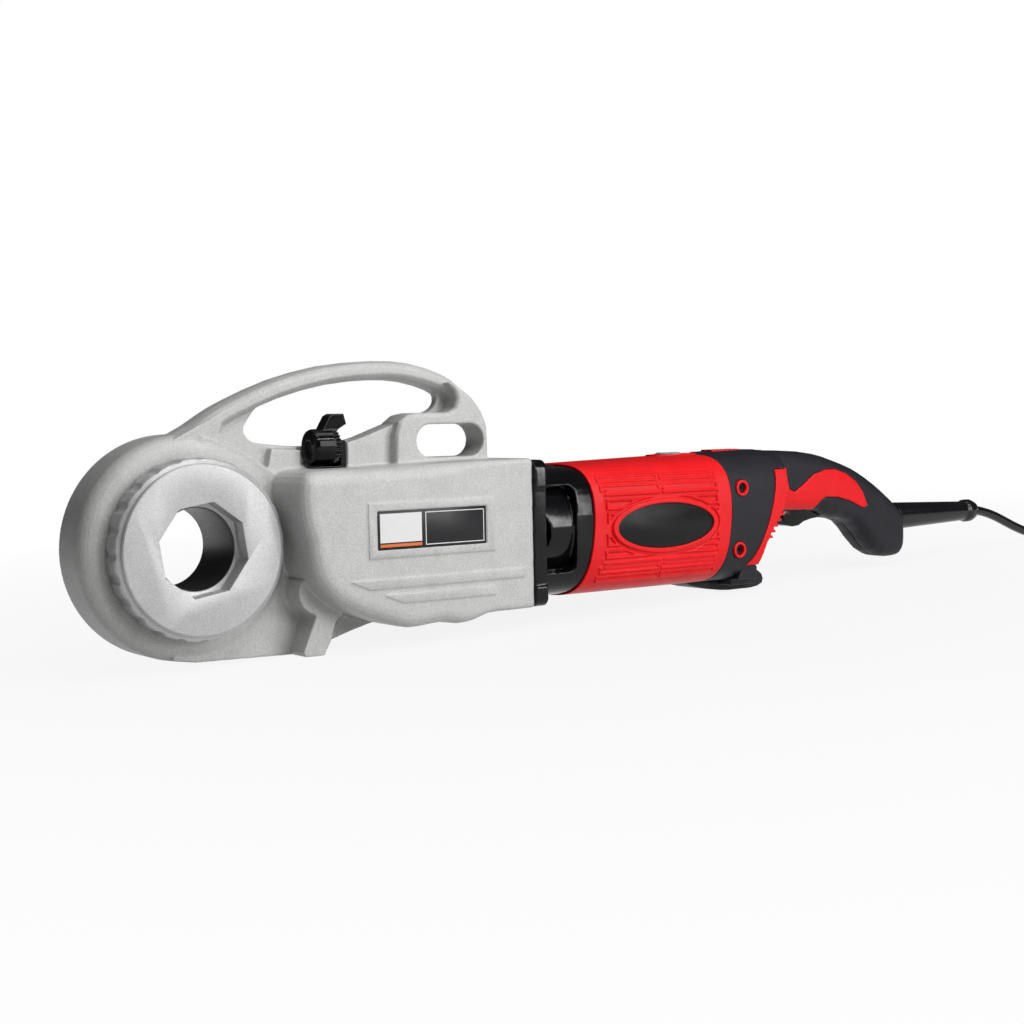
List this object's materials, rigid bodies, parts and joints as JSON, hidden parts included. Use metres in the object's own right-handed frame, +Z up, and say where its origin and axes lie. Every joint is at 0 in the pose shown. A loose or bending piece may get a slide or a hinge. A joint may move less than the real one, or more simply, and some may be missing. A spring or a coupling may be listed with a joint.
{
  "type": "pipe threading machine",
  "caption": "Hand-held power pipe threader: round ring-drive head with carrying arch, long gear case, barrel motor, rear trigger grip and power cord",
  "frame": {"origin": "On the drive ring's axis, level with the plane of the ring's web inside the head", "axes": "+X runs from the ring towards the grip and the cord, level with the floor; +Y runs along the drive axis to the rear; +Z is up"},
  "size_m": [1.1585, 0.117, 0.1931],
  "materials": {
    "cast_aluminium": "sand cast, unpolished",
    "zinc": "cast, zinc plated",
    "gear_steel": "machined and oiled",
    "screw_steel": "dark zinc",
    "bronze": "sintered bronze",
    "bearing_steel": "ground",
    "label": "blank, matt",
    "black_gloss": "smooth",
    "black_soft": "soft matt grip plastic",
    "red_plastic": "fine spark texture",
    "core_steel": "laminated sheet steel, lacquered",
    "copper": "turned copper",
    "natural_plastic": "moulded",
    "carbon": "pressed carbon",
    "grey_plastic": "moulded",
    "cord_rubber": "flexible sheath",
    "blade_brass": "nickel plated"
  },
  "bodies": {
    "machine": {"gear_housing": "cast_aluminium", "rear_cover": "cast_aluminium", "cover_screws": "screw_steel", "ring_retainer": "cast_aluminium", "snap_ring": "screw_steel", "front_bush": "bronze", "rear_bush": "bronze", "idler_pin": "gear_steel", "cross_bearings": "bearing_steel", "counter_bearings": "bearing_steel", "bearing_bridge": "cast_aluminium", "label_plate": "label", "latch_base": "black_gloss", "latch_pin": "screw_steel", "motor_flange": "black_gloss", "flange_bolts": "screw_steel", "motor_nose": "black_gloss", "motor_housing": "red_plastic", "side_badge": "black_gloss", "stator": "core_steel", "motor_bearings": "bearing_steel", "brush_holders": "copper", "carbon_brushes": "carbon", "body_left": "black_soft", "body_right": "black_soft", "vent_strip_left": "red_plastic", "vent_strip_right": "red_plastic", "grip_panel_left": "red_plastic", "grip_panel_right": "red_plastic", "body_screws": "screw_steel", "screw_rings": "red_plastic", "foot": "black_soft", "trigger_pin": "gear_steel", "switch_block": "grey_plastic", "strain_relief": "cord_rubber", "power_cord": "cord_rubber", "cord_coil": "cord_rubber", "coil_tie": "cord_rubber", "plug_lead": "cord_rubber", "plug_body": "cord_rubber", "plug_blades": "blade_brass"},
    "ring": {"drive_ring": "zinc", "ring_gear": "gear_steel"},
    "idler": {"idler_gear": "gear_steel"},
    "cross": {"cross_shaft": "gear_steel", "cross_pinion": "gear_steel", "bevel_gear": "gear_steel"},
    "counter": {"counter_shaft": "gear_steel", "counter_gear": "gear_steel"},
    "armature": {"armature_shaft": "gear_steel", "armature_core": "core_steel", "commutator": "copper", "cooling_fan": "natural_plastic"},
    "latch": {"latch_knob": "black_gloss"},
    "trigger_lever": {"trigger": "black_gloss"},
    "direction": {"direction_knob": "grey_plastic"},
    "lock": {"lock_slider": "red_plastic"}
  },
  "joints": [
    {"name": "ring_spin", "type": "hinge", "parent": "machine", "child": "ring", "pos_m": [0, 0, 0], "axis": [0, 1, 0], "continuous": true},
    {"name": "idler_spin", "type": "hinge", "parent": "machine", "child": "idler", "pos_m": [0.07744, 0.003, -0.00304], "axis": [0, 1, 0], "continuous": true},
    {"name": "cross_spin", "type": "hinge", "parent": "machine", "child": "cross", "pos_m": [0.10742, -0.02, -0.00422], "axis": [0, 1, 0], "continuous": true},
    {"name": "counter_spin", "type": "hinge", "parent": "machine", "child": "counter", "pos_m": [0.18985, -0.029, -0.00745], "axis": [0.9992, 0, -0.0392], "continuous": true},
    {"name": "armature_spin", "type": "hinge", "parent": "machine", "child": "armature", "pos_m": [0.32975, -0.009, -0.01295], "axis": [0.9992, 0, -0.0392], "continuous": true},
    {"name": "latch_turn", "type": "hinge", "parent": "machine", "child": "latch", "pos_m": [0.09738, -0.011, 0.05862], "axis": [0.9992, 0, -0.0392], "range_deg": [0, 90]},
    {"name": "trigger_pull", "type": "hinge", "parent": "machine", "child": "trigger_lever", "pos_m": [0.56069, -0.009, -0.01901], "axis": [0, 1, 0], "range_deg": [0, 8], "stiffness_Nm_per_rad": 1.2, "springref_deg": -11.46},
    {"name": "direction_turn", "type": "hinge", "parent": "machine", "child": "direction", "pos_m": [0.40857, -0.009, 0.03199], "axis": [0.0392, 0, 0.9992], "range_deg": [-45, 45]},
    {"name": "lock_slide", "type": "slide", "parent": "machine", "child": "lock", "axis": [0.9992, 0, -0.0392], "range_m": [0, 0.005]}
  ],
  "couplings": [
    {"joint": "idler_spin", "follows": "ring_spin", "ratio": -4.1667},
    {"joint": "cross_spin", "follows": "ring_spin", "ratio": 4.1667},
    {"joint": "counter_spin", "follows": "ring_spin", "ratio": 12.5},
    {"joint": "armature_spin", "follows": "ring_spin", "ratio": -37.5}
  ]
}
